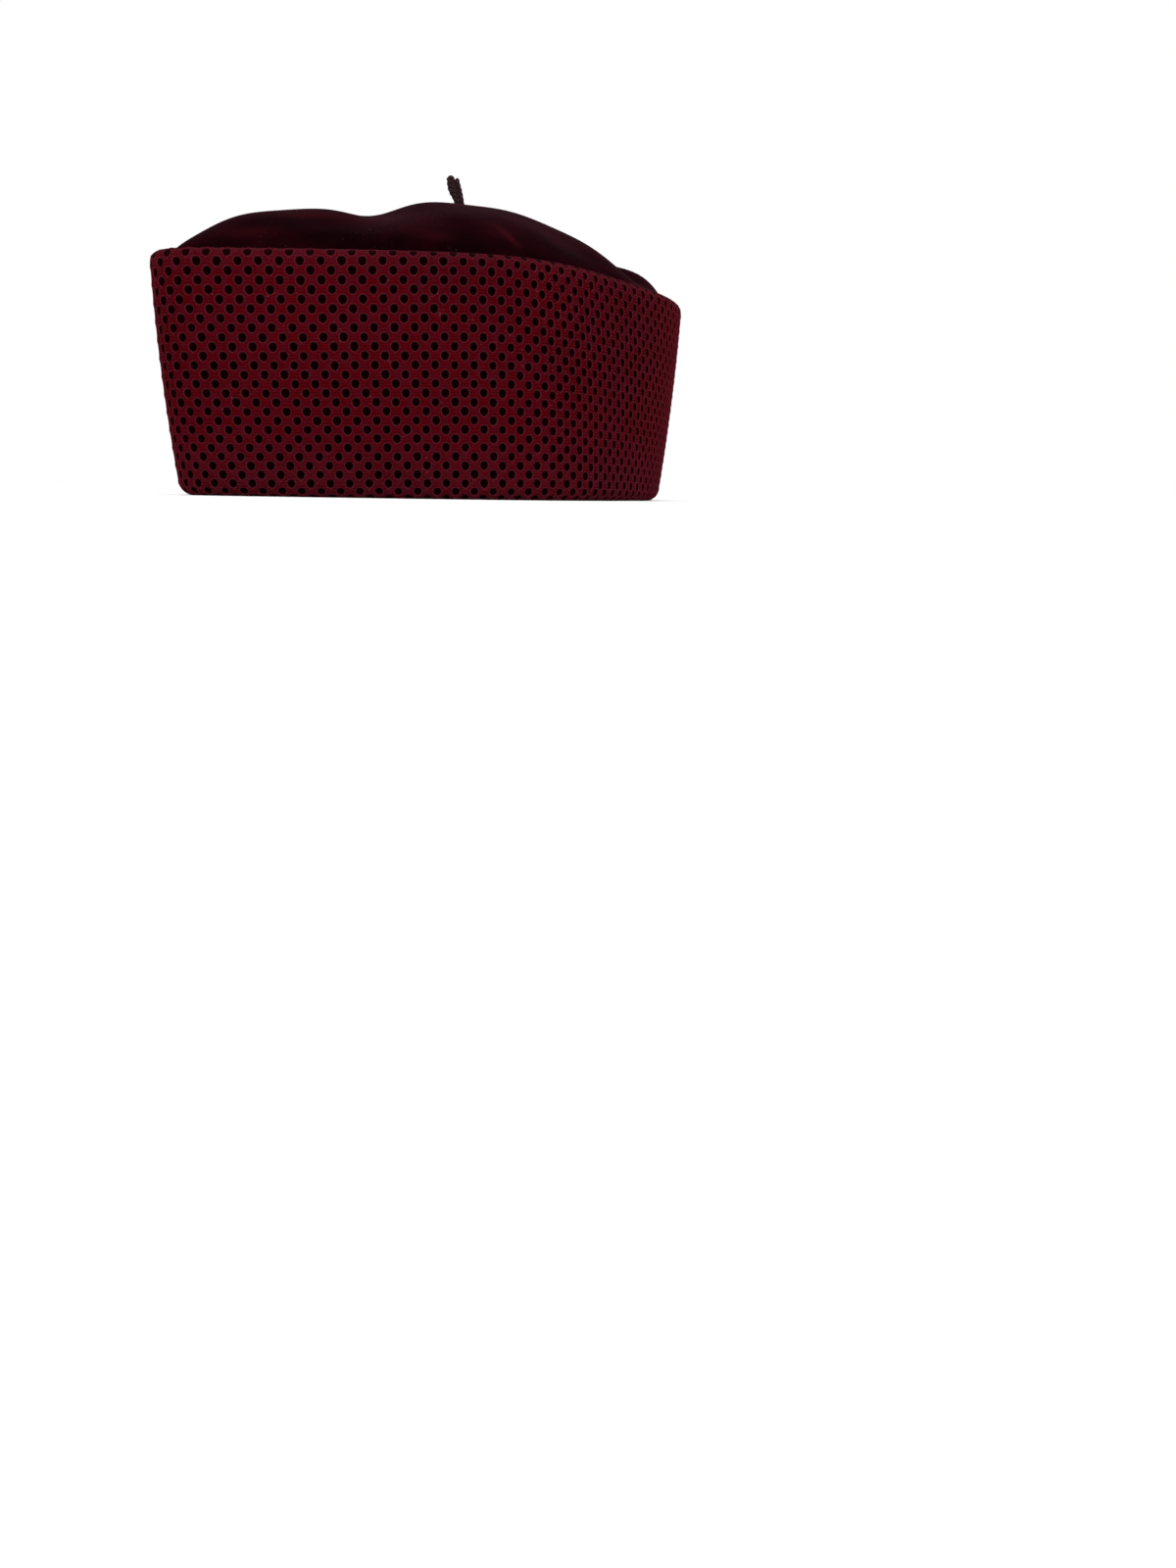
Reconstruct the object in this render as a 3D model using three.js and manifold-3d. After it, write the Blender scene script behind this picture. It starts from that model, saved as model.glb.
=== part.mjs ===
// Fez-type cap: a stiff band in air-mesh knit, creased at the front, a soft velvet crown that bulges out of
// it, and a short doubled cord on top. Millimetres, +Z up. The front of the cap faces -Y and the wearer's
// left is +X. The origin is the middle of the cap's box, on the surface that the cap stands on.

import * as THREE from "three";
import { mergeVertices } from "three/addons/utils/BufferGeometryUtils.js";
import Module from "manifold-3d";

// A value that changes round the cap is the sum of size * cos(turns * angle), with angle 0 at the front.
// Plan radius of the band's outer face at the hem.
const planTerms = [
  { turns: 0, size: 90.4, shape: "mean radius" },
  { turns: 1, size: -9.6, shape: "fuller back" },
  { turns: 2, size: 9.8, shape: "long oval" },
  { turns: 3, size: -2.4, shape: "broader behind the sides" },
  { turns: 4, size: 3.5, shape: "flatter sides" },
  { turns: 5, size: 0.3, shape: "tighter front" },
];

// The fold at the front draws the plan out to a rounded point. Reach and rounding are shares of the radius.
const frontCrease = { rise: 23.7, reach: 0.19, rounding: 0.12 };

// Height of the rim above the hem.
const rimTerms = [
  { turns: 0, size: 86.0, shape: "mean height" },
  { turns: 1, size: -0.6, shape: "higher back" },
  { turns: 2, size: -1.1, shape: "higher sides" },
];

// Outward lean of the wall from hem to rim.
const leanTerms = [
  { turns: 0, size: 2.1, shape: "flare all round" },
  { turns: 1, size: -2.0, shape: "more flare at the back" },
  { turns: 2, size: 6.6, shape: "flare at both ends, sides pressed in" },
  { turns: 3, size: -1.4, shape: "less flare at the front" },
];

const boxShift = -3.2; // moves the plan's middle, so that the cap's box is centred on the origin

const bandWall = 7.5;
const bandBulge = 1.2; // outward swell of the wall at half height
const hemOuterRadius = 4.5;
const hemInnerRadius = 1.0;
const rimOuterRadius = 3.5;
const rimInnerRadius = 3.0;
const capSteps = 108; // facets round the cap
const frontCrowding = 0.7; // facets get narrower towards the crease: 0 leaves them even

const pieceGap = 0.3;

const crownWall = 2.0;
const crownRings = 14;
const crownEdgeDrop = 0.5; // the dome starts this far below the rim
const seamDepth = 14.0; // the turned-down edge inside the band
const seamRows = 3;
const domeHeight = 23.5;
const domeFullness = 1.5; // 2 is a half ellipse, and less rises more slowly from the rim
const foldFade = 6; // folds die out towards the rim, faster for a higher power

// Soft folds of the crown. Each is a smooth mound or dent with its centre, its reach along and across, the
// turn of its length from the X axis in degrees, and its rise.
const crownFolds = [
  { name: "main dome", x: 15, y: 21, along: 38, across: 38, turn: 0, rise: 8.8 },
  { name: "front hump", x: 0, y: -79, along: 30, across: 20, turn: 0, rise: 3.1 },
  { name: "front valley", x: 9, y: -34.5, along: 34, across: 9, turn: -37, rise: -2.6 },
  { name: "front ledge", x: 36, y: -77, along: 20, across: 5, turn: 56, rise: 1.4 },
  { name: "side dent", x: 63, y: -32, along: 11, across: 6, turn: 12, rise: -1.4 },
  { name: "side ridge", x: 64, y: -18, along: 12, across: 5, turn: 8, rise: 1.2 },
  { name: "back dip", x: 42, y: 72.5, along: 26, across: 8.6, turn: 20, rise: -9.3 },
  { name: "back shoulder", x: 47, y: 95.5, along: 21, across: 12, turn: 20, rise: 10.0 },
];

// The stalk is one cord doubled. Each strand runs through a few sections: height over the seat, shift along
// the lean, and radius.
const stalkTurn = 156; // degrees from the front, towards the wearer's left
const stalkShare = 0.12; // place between the crown's middle and its edge
const stalkLeanTurn = 38.5; // the lean's direction, in degrees from the front towards the wearer's right
const stalkSlopeGap = 0.15; // extra clearance for the crown's slope under the stalk
const strandSides = 10;
const strandTip = 0.3; // how far a strand's end bulges past its last section, as a share of that radius
const thickStrand = [
  { height: 0.0, shift: 0.8, radius: 1.2 },
  { height: 2.9, shift: 0.6, radius: 1.2 },
  { height: 5.2, shift: 1.9, radius: 1.4 },
  { height: 7.4, shift: 3.2, radius: 1.65 },
  { height: 9.6, shift: 3.5, radius: 1.7 },
  { height: 11.4, shift: 3.7, radius: 1.65 },
  { height: 12.5, shift: 3.7, radius: 1.2 },
  { height: 13.0, shift: 3.7, radius: 0.5 },
];
const thinStrand = [
  { height: 0.0, shift: -0.8, radius: 1.2 },
  { height: 2.9, shift: -0.5, radius: 1.15 },
  { height: 5.2, shift: -0.1, radius: 1.15 },
  { height: 7.4, shift: 0.4, radius: 1.05 },
  { height: 9.6, shift: 0.7, radius: 0.85 },
  { height: 11.3, shift: 0.8, radius: 0.8 },
  { height: 12.0, shift: 0.8, radius: 0.4 },
];

const bandFinish = { color: 0x43060c, roughness: 0.85, metalness: 0 };
const crownFinish = { color: 0x1e0609, roughness: 0.95, metalness: 0 };
const stalkFinish = { color: 0x2d1b1d, roughness: 0.9, metalness: 0 };

const degree = Math.PI / 180;
const wasm = await Module();
wasm.setup();

function sumTerms(terms, angle) {
  let sum = 0;
  for (const term of terms) {
    sum += term.size * Math.cos(term.turns * angle);
  }
  return sum;
}

function slopeTerms(terms, angle) {
  let sum = 0;
  for (const term of terms) {
    sum -= term.turns * term.size * Math.sin(term.turns * angle);
  }
  return sum;
}

// The front crease's addition to the plan radius, rise * exp(-distance / reach), and its slope. The distance
// is the chord from the front, rounded off near it.
function creasePlan(angle) {
  const distance = Math.hypot(2 * Math.sin(angle / 2), frontCrease.rounding);
  const radius = frontCrease.rise * Math.exp((frontCrease.rounding - distance) / frontCrease.reach);
  return { radius, slope: (-radius * Math.sin(angle)) / (frontCrease.reach * distance) };
}

// A point of the band's wall: angle round the cap, depth behind the outer face and height above the hem.
function wallPoint(angle, depth, height) {
  const crease = creasePlan(angle);
  const radius = sumTerms(planTerms, angle) + crease.radius;
  const slope = slopeTerms(planTerms, angle) + crease.slope;
  const sin = Math.sin(angle);
  const cos = Math.cos(angle);
  const along = new THREE.Vector2(slope * sin + radius * cos, -slope * cos + radius * sin).normalize();
  const share = height / sumTerms(rimTerms, angle);
  const offset = sumTerms(leanTerms, angle) * share + 4 * bandBulge * share * (1 - share) - depth;
  return new THREE.Vector3(
    radius * sin + along.y * offset,
    -radius * cos - along.x * offset,
    height,
  );
}

function ringAngles() {
  return Array.from({ length: capSteps }, (_, step) => {
    const even = (step / capSteps) * 2 * Math.PI;
    return even - frontCrowding * Math.sin(even);
  });
}

// Corner of the band's section: a quarter circle from one compass angle to another, as depth and height.
function cornerArc(depth, height, radius, from, steps) {
  const points = [];
  for (let step = 0; step <= steps; step += 1) {
    const turn = (from + (step / steps) * 90) * degree;
    points.push({ depth: depth - radius * Math.cos(turn), height: height + radius * Math.sin(turn) });
  }
  return points;
}

// Section of the band, up the outer face and down the inner one. Heights are counted from the hem in the
// lower half, and from the rim in the upper half, where rim is true.
function bandSection() {
  const lowerOuter = cornerArc(hemOuterRadius, hemOuterRadius, hemOuterRadius, -90, 3);
  const upperOuter = cornerArc(rimOuterRadius, -rimOuterRadius, rimOuterRadius, 0, 3);
  const upperInner = cornerArc(bandWall - rimInnerRadius, -rimInnerRadius, rimInnerRadius, 90, 3);
  const lowerInner = cornerArc(bandWall - hemInnerRadius, hemInnerRadius, hemInnerRadius, 180, 1);
  const outerFace = [0.25, 0.5, 0.75].map((share) => ({ depth: 0, share }));
  const innerFace = [0.66, 0.33].map((share) => ({ depth: bandWall, share }));
  return [
    ...lowerOuter,
    ...outerFace,
    ...upperOuter.map((point) => ({ ...point, rim: true })),
    ...upperInner.map((point) => ({ ...point, rim: true })),
    ...innerFace,
    ...lowerInner,
  ];
}

function sectionHeight(point, rimHeight) {
  if (point.share !== undefined) {
    return point.share * rimHeight;
  }
  return point.rim ? rimHeight + point.height : point.height;
}

// Joins rows of points into a skin. Every row closes on itself, and closed joins the last row to the first.
function skin(rows, closed) {
  const positions = [];
  const addTriangle = (a, b, c) => {
    if (a.distanceTo(b) > 1e-6 && b.distanceTo(c) > 1e-6 && c.distanceTo(a) > 1e-6) {
      positions.push(a.x, a.y, a.z, b.x, b.y, b.z, c.x, c.y, c.z);
    }
  };
  const bands = closed ? rows.length : rows.length - 1;
  for (let row = 0; row < bands; row += 1) {
    const low = rows[row];
    const high = rows[(row + 1) % rows.length];
    for (let step = 0; step < low.length; step += 1) {
      const next = (step + 1) % low.length;
      addTriangle(low[step], low[next], high[next]);
      addTriangle(low[step], high[next], high[step]);
    }
  }
  const geometry = new THREE.BufferGeometry();
  geometry.setAttribute("position", new THREE.Float32BufferAttribute(positions, 3));
  return mergeVertices(geometry, 1e-5);
}

function bandGeometry() {
  const rows = bandSection().map((point) =>
    ringAngles().map((angle) => {
      const rimHeight = sumTerms(rimTerms, angle);
      return wallPoint(angle, point.depth, sectionHeight(point, rimHeight));
    }),
  );
  return skin(rows, true);
}

function foldRise(x, y) {
  let rise = 0;
  for (const fold of crownFolds) {
    const turn = fold.turn * degree;
    const along = ((x - fold.x) * Math.cos(turn) + (y - fold.y) * Math.sin(turn)) / fold.along;
    const across = ((y - fold.y) * Math.cos(turn) - (x - fold.x) * Math.sin(turn)) / fold.across;
    rise += fold.rise * Math.exp(-0.5 * (along * along + across * across));
  }
  return rise;
}

// A point of the crown's outer face: share 0 is its middle and share 1 its edge, just inside the band's rim.
function crownPoint(share, angle) {
  const rimHeight = sumTerms(rimTerms, angle);
  const edge = wallPoint(angle, bandWall + pieceGap, rimHeight);
  const meanRim = rimTerms[0].size;
  const base = meanRim + (rimHeight - meanRim) * share * share - crownEdgeDrop;
  const dome = domeHeight * (1 - share * share) ** (1 / domeFullness);
  const x = edge.x * share;
  const y = edge.y * share;
  return new THREE.Vector3(x, y, base + dome + foldRise(x, y) * (1 - share ** foldFade));
}

// Rows of the crown's outer face, from the middle out to the edge and down the seam inside the band.
function crownRows() {
  const rows = [];
  for (let ring = 0; ring <= crownRings; ring += 1) {
    const share = Math.sin((ring / crownRings) * 90 * degree);
    rows.push(ringAngles().map((angle) => crownPoint(share, angle)));
  }
  for (let row = 1; row <= seamRows; row += 1) {
    const drop = crownEdgeDrop + (seamDepth * row) / seamRows;
    rows.push(
      ringAngles().map((angle) => wallPoint(angle, bandWall + pieceGap, sumTerms(rimTerms, angle) - drop)),
    );
  }
  return rows;
}

// The same rows moved inwards by the crown's thickness.
function innerRows(rows) {
  return rows.map((row, index) =>
    row.map((point, step) => {
      if (index === 0) {
        return new THREE.Vector3(point.x, point.y, point.z - crownWall);
      }
      const after = row[(step + 1) % row.length];
      const before = row[(step + row.length - 1) % row.length];
      const outer = rows[Math.min(index + 1, rows.length - 1)][step];
      const inner = rows[index - 1][step];
      const around = after.clone().sub(before);
      const down = outer.clone().sub(inner);
      const normal = down.cross(around).normalize();
      return point.clone().addScaledVector(normal, -crownWall);
    }),
  );
}

function crownGeometry() {
  const outside = crownRows();
  const inside = innerRows(outside);
  return skin([...inside, ...outside.reverse()], false);
}

// A cord strand as a closed skin round its level sections, from its foot to its rounded tip.
function strandGeometry(sections, lean) {
  const rows = sections.map((section) =>
    Array.from({ length: strandSides }, (_, side) => {
      const turn = (side / strandSides) * 2 * Math.PI;
      return new THREE.Vector3(
        lean.x * section.shift + section.radius * Math.cos(turn),
        lean.y * section.shift + section.radius * Math.sin(turn),
        section.height,
      );
    }),
  );
  const first = sections[0];
  const last = sections[sections.length - 1];
  const foot = new THREE.Vector3(lean.x * first.shift, lean.y * first.shift, first.height);
  const tipHeight = last.height + strandTip * last.radius;
  const tip = new THREE.Vector3(lean.x * last.shift, lean.y * last.shift, tipHeight);
  return skin([Array(strandSides).fill(foot), ...rows, Array(strandSides).fill(tip)], false);
}

function toSolid(geometry) {
  const vertProperties = new Float32Array(geometry.attributes.position.array);
  const triVerts = new Uint32Array(geometry.index.array);
  return new wasm.Manifold(new wasm.Mesh({ numProp: 3, vertProperties, triVerts }));
}

function toGeometry(solid) {
  const mesh = solid.getMesh();
  const geometry = new THREE.BufferGeometry();
  geometry.setAttribute("position", new THREE.BufferAttribute(new Float32Array(mesh.vertProperties), 3));
  geometry.setIndex(new THREE.BufferAttribute(new Uint32Array(mesh.triVerts), 1));
  return geometry;
}

function stalkGeometry() {
  const lean = new THREE.Vector2(-Math.sin(stalkLeanTurn * degree), -Math.cos(stalkLeanTurn * degree));
  const thick = toSolid(strandGeometry(thickStrand, lean));
  const thin = toSolid(strandGeometry(thinStrand, lean));
  return toGeometry(thick.add(thin));
}

function piece(name, geometry, finish) {
  const mesh = new THREE.Mesh(geometry, new THREE.MeshStandardMaterial(finish));
  mesh.name = name;
  return mesh;
}

const cap = new THREE.Group();
cap.position.set(0, boxShift, 0);
cap.add(piece("band", bandGeometry(), bandFinish));
cap.add(piece("crown", crownGeometry(), crownFinish));

const stalk = piece("stalk", stalkGeometry(), stalkFinish);
const stalkSeat = crownPoint(stalkShare, stalkTurn * degree);
stalk.position.set(stalkSeat.x, stalkSeat.y, stalkSeat.z + pieceGap + stalkSlopeGap);
cap.add(stalk);

export default cap;
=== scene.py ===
import bpy
import numpy as np
from mathutils import Matrix, Vector


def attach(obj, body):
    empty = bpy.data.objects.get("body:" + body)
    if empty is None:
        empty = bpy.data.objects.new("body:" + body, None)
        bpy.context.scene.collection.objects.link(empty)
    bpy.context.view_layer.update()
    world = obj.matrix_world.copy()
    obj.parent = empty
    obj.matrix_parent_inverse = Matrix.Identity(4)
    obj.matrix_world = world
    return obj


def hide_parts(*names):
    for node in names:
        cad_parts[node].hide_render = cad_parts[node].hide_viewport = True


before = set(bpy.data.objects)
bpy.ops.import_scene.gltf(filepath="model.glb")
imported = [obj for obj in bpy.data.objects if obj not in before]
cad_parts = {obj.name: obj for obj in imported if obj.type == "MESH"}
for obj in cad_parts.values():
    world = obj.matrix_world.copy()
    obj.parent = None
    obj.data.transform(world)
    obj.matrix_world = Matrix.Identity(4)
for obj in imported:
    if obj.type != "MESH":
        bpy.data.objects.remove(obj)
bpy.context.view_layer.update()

# Fez-type cap: an air-mesh band, a velvet crown and a doubled cord stalk.
# Shapes are worked out in millimetres and put into the meshes in metres.
# The front of the cap faces -Y, and angle 0 is the front, growing towards the wearer's left, +X.

mm = 0.001

cap = {
    "planTerms": (90.4, -9.6, 9.8, -2.4, 3.5, 0.3),   # radius of the hem's outer face
    "creaseRise": 23.7,                               # the fold at the front draws the plan out by this
    "creaseReach": 0.19,                              # and dies away over this share of the radius
    "creaseRounding": 0.12,                           # how blunt it is, in the same share
    "rimTerms": (86.0, -0.6, -1.1),                   # height of the rim
    "leanTerms": (2.1, -2.0, 6.6, -1.4),              # outward lean from hem to rim
    "bulge": 1.2,                                     # outward swell at half height
    "boxShift": -3.2,                                 # centres the cap's box on the origin
    "wall": 7.5,
    "gap": 0.3,                                       # air between one piece and the next
}


def sumTerms(terms, angle):
    # the sum of terms[k] * cos(k * angle)
    return sum(size * np.cos(turns * angle) for turns, size in enumerate(terms))


def slopeTerms(terms, angle):
    # its slope, minus the sum of k * terms[k] * sin(k * angle)
    return -sum(turns * size * np.sin(turns * angle) for turns, size in enumerate(terms))


def creasePlan(angle):
    # the front fold's part of the radius, rise * exp((rounding - chord) / reach), and its slope. The
    # chord to the front point is rounded off, so that the fold has no sharp edge
    chord = np.hypot(2 * np.sin(angle / 2), cap["creaseRounding"])
    radius = cap["creaseRise"] * np.exp((cap["creaseRounding"] - chord) / cap["creaseReach"])
    return radius, -radius * np.sin(angle) / (cap["creaseReach"] * chord)


def wallPoint(angle, depth, height):
    # the hem's outline, moved along its outward normal by lean * share + 4 * bulge * share * (1 - share)
    # - depth, where share is the height over the height of the rim
    creaseRadius, creaseSlope = creasePlan(angle)
    radius = sumTerms(cap["planTerms"], angle) + creaseRadius
    slope = slopeTerms(cap["planTerms"], angle) + creaseSlope
    alongX = slope * np.sin(angle) + radius * np.cos(angle)
    alongY = -slope * np.cos(angle) + radius * np.sin(angle)
    length = np.hypot(alongX, alongY)
    share = height / sumTerms(cap["rimTerms"], angle)
    offset = sumTerms(cap["leanTerms"], angle) * share + 4 * cap["bulge"] * share * (1 - share) - depth
    x = radius * np.sin(angle) + alongY / length * offset
    y = -radius * np.cos(angle) - alongX / length * offset + cap["boxShift"]
    return np.stack([x, y, height + 0 * x], axis=-1)


def gridFaces(rows, columns):
    # quads of a grid of rows that close on themselves, counted row by row
    row, column = np.meshgrid(np.arange(rows - 1), np.arange(columns), indexing="ij")
    after = (column + 1) % columns
    near, far = row * columns, (row + 1) * columns
    return np.stack([near + column, near + after, far + after, far + column], axis=-1).reshape(-1, 4)


def fanFaces(first, columns, pole, flip):
    # triangles from a closed row, whose first point is given, to a pole point
    start = first + np.arange(columns)
    after = first + (np.arange(columns) + 1) % columns
    sides = [after, start] if flip else [start, after]
    return np.stack([*sides, np.full(columns, pole)], axis=-1)


def makePiece(name, points, quads, triangles, material, uvs=None):
    # a mesh from whole arrays of points, in millimetres, and of faces, with a UV for each face corner
    corners = np.concatenate([quads.ravel(), triangles.ravel()]).astype(np.int32)
    starts = np.concatenate([np.arange(len(quads)) * 4, len(quads) * 4 + np.arange(len(triangles)) * 3])
    mesh = bpy.data.meshes.new(name)
    mesh.vertices.add(len(points))
    mesh.vertices.foreach_set("co", (points * mm).astype(np.float32).ravel())
    mesh.loops.add(len(corners))
    mesh.loops.foreach_set("vertex_index", corners)
    mesh.polygons.add(len(starts))
    mesh.polygons.foreach_set("loop_start", starts.astype(np.int32))
    mesh.update(calc_edges=True)
    mesh.validate()
    mesh.polygons.foreach_set("use_smooth", np.ones(len(mesh.polygons), dtype=bool))
    if uvs is not None:
        mesh.uv_layers.new(name="cloth").data.foreach_set("uv", uvs.astype(np.float32).ravel())
    piece = bpy.data.objects.new(name, mesh)
    bpy.context.scene.collection.objects.link(piece)
    mesh.materials.append(material)
    print(name, "points", len(points), "triangles", 2 * len(quads) + len(triangles))
    return piece


# Node helpers

def calc(tree, operation, *inputs):
    # one Math node: each input is a number or a socket
    node = tree.nodes.new("ShaderNodeMath")
    node.operation = operation
    for socket, value in zip(node.inputs, inputs):
        if isinstance(value, bpy.types.NodeSocket):
            tree.links.new(value, socket)
        else:
            socket.default_value = value
    return node.outputs[0]


def smoothStep(tree, value, low, high):
    # 0 below low and 1 above high, eased between them
    node = tree.nodes.new("ShaderNodeMapRange")
    node.interpolation_type = "SMOOTHSTEP"
    tree.links.new(value, node.inputs["Value"])
    node.inputs["From Min"].default_value = low
    node.inputs["From Max"].default_value = high
    return node.outputs["Result"]


def wave(tree, value, turns):
    # 0.5 + 0.5 * cos(2 pi * turns * value)
    cosine = calc(tree, "COSINE", calc(tree, "MULTIPLY", value, 2 * np.pi * turns))
    return calc(tree, "MULTIPLY_ADD", cosine, 0.5, 0.5)


def blendColour(tree, factor, first, second):
    # one Mix node for colours: factor, first and second are sockets, numbers or RGB tuples
    node = tree.nodes.new("ShaderNodeMix")
    node.data_type = "RGBA"
    sockets = [socket for socket in node.inputs if socket.enabled]
    for socket, value in zip(sockets, [factor, first, second]):
        if isinstance(value, bpy.types.NodeSocket):
            tree.links.new(value, socket)
        elif isinstance(value, tuple):
            socket.default_value = (*value, 1.0)
        else:
            socket.default_value = value
    return [socket for socket in node.outputs if socket.enabled][0]


def stretched(tree, vector, scale, turn):
    # the vector scaled and then turned: a pattern is drawn out along the axis whose scale is low
    node = tree.nodes.new("ShaderNodeMapping")
    node.inputs["Rotation"].default_value = turn
    node.inputs["Scale"].default_value = scale
    tree.links.new(vector, node.inputs["Vector"])
    return node.outputs["Vector"]


def noise(tree, vector, scale, detail=2.0):
    # one Noise node, whose scale is a number or a socket
    node = tree.nodes.new("ShaderNodeTexNoise")
    tree.links.new(vector, node.inputs["Vector"])
    if isinstance(scale, bpy.types.NodeSocket):
        tree.links.new(scale, node.inputs["Scale"])
    else:
        node.inputs["Scale"].default_value = scale
    node.inputs["Detail"].default_value = detail
    return node.outputs["Fac"]


def newGroup(name, inputs, outputs):
    # a node group whose inputs and outputs are all numbers
    group = bpy.data.node_groups.new(name, "ShaderNodeTree")
    for socket in inputs:
        group.interface.new_socket(name=socket, in_out="INPUT", socket_type="NodeSocketFloat")
    for socket in outputs:
        group.interface.new_socket(name=socket, in_out="OUTPUT", socket_type="NodeSocketFloat")
    return group, group.nodes.new("NodeGroupInput").outputs, group.nodes.new("NodeGroupOutput").inputs


def placeGroup(tree, group, **values):
    # the group as a node of a material, with a number or a socket for each named input
    node = tree.nodes.new("ShaderNodeGroup")
    node.node_tree = group
    for name, value in values.items():
        if isinstance(value, bpy.types.NodeSocket):
            tree.links.new(value, node.inputs[name])
        else:
            node.inputs[name].default_value = value
    return node.outputs


# Worn cloth, and painted sheen along folds: masks that the materials share

wornCloth = {
    "toneEdges": (0.3, 0.7),            # the noise between which the tone goes from 0 to 1
    "lintEdges": (0.70, 0.78),          # only the highest noise is a bit of lint
    "lintPatchScale": 70.0,             # lint gathers in patches, at this scale to the metre
    "lintPatchEdges": (0.45, 0.65),
    "foldFadeEdges": (0.35, 0.65),        # the grain between which the rubbed and sheened stretch of a fold goes from 0 to 1
}


def makeClothAge():
    # slow changes of tone, fibre grain and a few pale bits of lint: noises of the place on the object, at
    # their own scales to the metre
    scales, masks = ["toneScale", "grainScale", "lintScale"], ["tone", "grain", "lint"]
    group, inputs, outputs = newGroup("clothAge", scales, masks)
    place = group.nodes.new("ShaderNodeTexCoord").outputs["Object"]
    tone = noise(group, place, inputs["toneScale"], detail=3.0)
    grain = noise(group, place, inputs["grainScale"], detail=3.0)
    speck = noise(group, place, inputs["lintScale"], detail=1.0)
    speck = smoothStep(group, speck, *wornCloth["lintEdges"])
    patch = noise(group, place, wornCloth["lintPatchScale"], detail=1.0)
    patch = smoothStep(group, patch, *wornCloth["lintPatchEdges"])
    group.links.new(smoothStep(group, tone, *wornCloth["toneEdges"]), outputs["tone"])
    group.links.new(grain, outputs["grain"])
    group.links.new(calc(group, "MULTIPLY", speck, patch), outputs["lint"])
    return group


def makeEdgeWearSheen():
    # stretch of a fold, partly rubbed wear and partly painted sheen: 1 on the middle of the fold and 0 at
    # its reach, broken up by grain
    group, inputs, outputs = newGroup("edgeWearSheen", ["along", "middle", "reach", "grain"], ["wear"])
    apart = calc(group, "ABSOLUTE", calc(group, "SUBTRACT", inputs["along"], inputs["middle"]))
    near = calc(group, "SUBTRACT", 1.0, calc(group, "DIVIDE", apart, inputs["reach"]))
    nearFold = smoothStep(group, near, 0.0, 1.0)
    broken = smoothStep(group, inputs["grain"], *wornCloth["foldFadeEdges"])
    group.links.new(calc(group, "MULTIPLY", nearFold, broken), outputs["wear"])
    return group


clothAge = makeClothAge()
edgeWearSheen = makeEdgeWearSheen()


def newMaterial(name, finish):
    # a cloth material: its even values stand on the shader's own sockets, and its roughness is
    # least + added * grain. It also gives the masks of worn cloth
    material = bpy.data.materials.new(name)
    material.use_nodes = True
    tree = material.node_tree
    shader = tree.nodes["Principled BSDF"]
    shader.inputs["Sheen Weight"].default_value = finish["sheen"]
    shader.inputs["Sheen Roughness"].default_value = finish["sheenRoughness"]
    shader.inputs["Sheen Tint"].default_value = (*finish["sheenTint"], 1.0)
    shader.inputs["Specular IOR Level"].default_value = finish["specular"]
    toneScale, grainScale, lintScale = finish["ageScales"]
    age = placeGroup(tree, clothAge, toneScale=toneScale, grainScale=grainScale, lintScale=lintScale)
    least, added = finish["roughness"]
    tree.links.new(calc(tree, "MULTIPLY_ADD", age["grain"], added, least), shader.inputs["Roughness"])
    return material, tree, shader, age


def clothPlace(tree):
    # the two numbers of the piece's own UV map, and both as one vector
    uv = tree.nodes.new("ShaderNodeUVMap")
    uv.uv_map = "cloth"
    split = tree.nodes.new("ShaderNodeSeparateXYZ")
    tree.links.new(uv.outputs["UV"], split.inputs["Vector"])
    return split.outputs["X"], split.outputs["Y"], uv.outputs["UV"]


def addBump(tree, shader, height, distance):
    # a Bump node, where a height of 1 stands for the distance in millimetres
    node = tree.nodes.new("ShaderNodeBump")
    node.inputs["Distance"].default_value = distance * mm
    tree.links.new(height, node.inputs["Height"])
    tree.links.new(node.outputs["Normal"], shader.inputs["Normal"])


# Band: spacer mesh with a staggered lattice of holes, laid round the whole section of the wall

band = {
    "columns": 88,              # holes in a row round the cap
    "rows": 56,                 # rows round the wall's section
    "outerRows": 29,            # rows from the line's start to the top of the rim
    "rowPitch": 3.194,          # their pitch, the inner face taking what is left
    "startDepth": 6.26,         # the line starts under the hem, this far behind the outer face
    "holeRows": (1, 27),        # first and last row whose holes are sunk: all of the outer face
    "columnShift": -0.118,      # turns the lattice round the cap, in columns
    "rowDrift": 0.3,            # the rows sink at both ends and rise at the sides by this much of a row
    "hemOuterRadius": 4.5,
    "hemInnerRadius": 1.0,
    "rimOuterRadius": 3.5,
    "rimInnerRadius": 3.0,
    "holeWidth": 3.0,
    "holeHeight": 3.25,
    "lipWidth": 0.42,           # soft edge round a hole
    "lipSink": 0.02,            # at its outer edge
    "lipDepth": 0.45,           # at its inner edge
    "pitDepth": 2.8,
    "taper": 0.10,              # a hole is narrower below
    "puff": 0.16,               # rise of the cloth between four holes
    "stray": 0.05,              # how far a hole is off its place
    "sizeSpread": 0.03,
    "most": 2,                  # no hole is further off, or off size, than this many times that
    "unevenness": 0.22,         # slow waves of the wall
    "seed": 11,
    "cornerPoints": 13,         # points of a rounded corner of the section
    "sectionPoints": 1733,      # points of the section's line
    "outlinePoints": 2881,      # points of the outline's line
}

# cells of the lattice are laid out in whole steps: so many to a column of holes, and to a row
cellSteps = np.array([6, 3])

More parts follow.
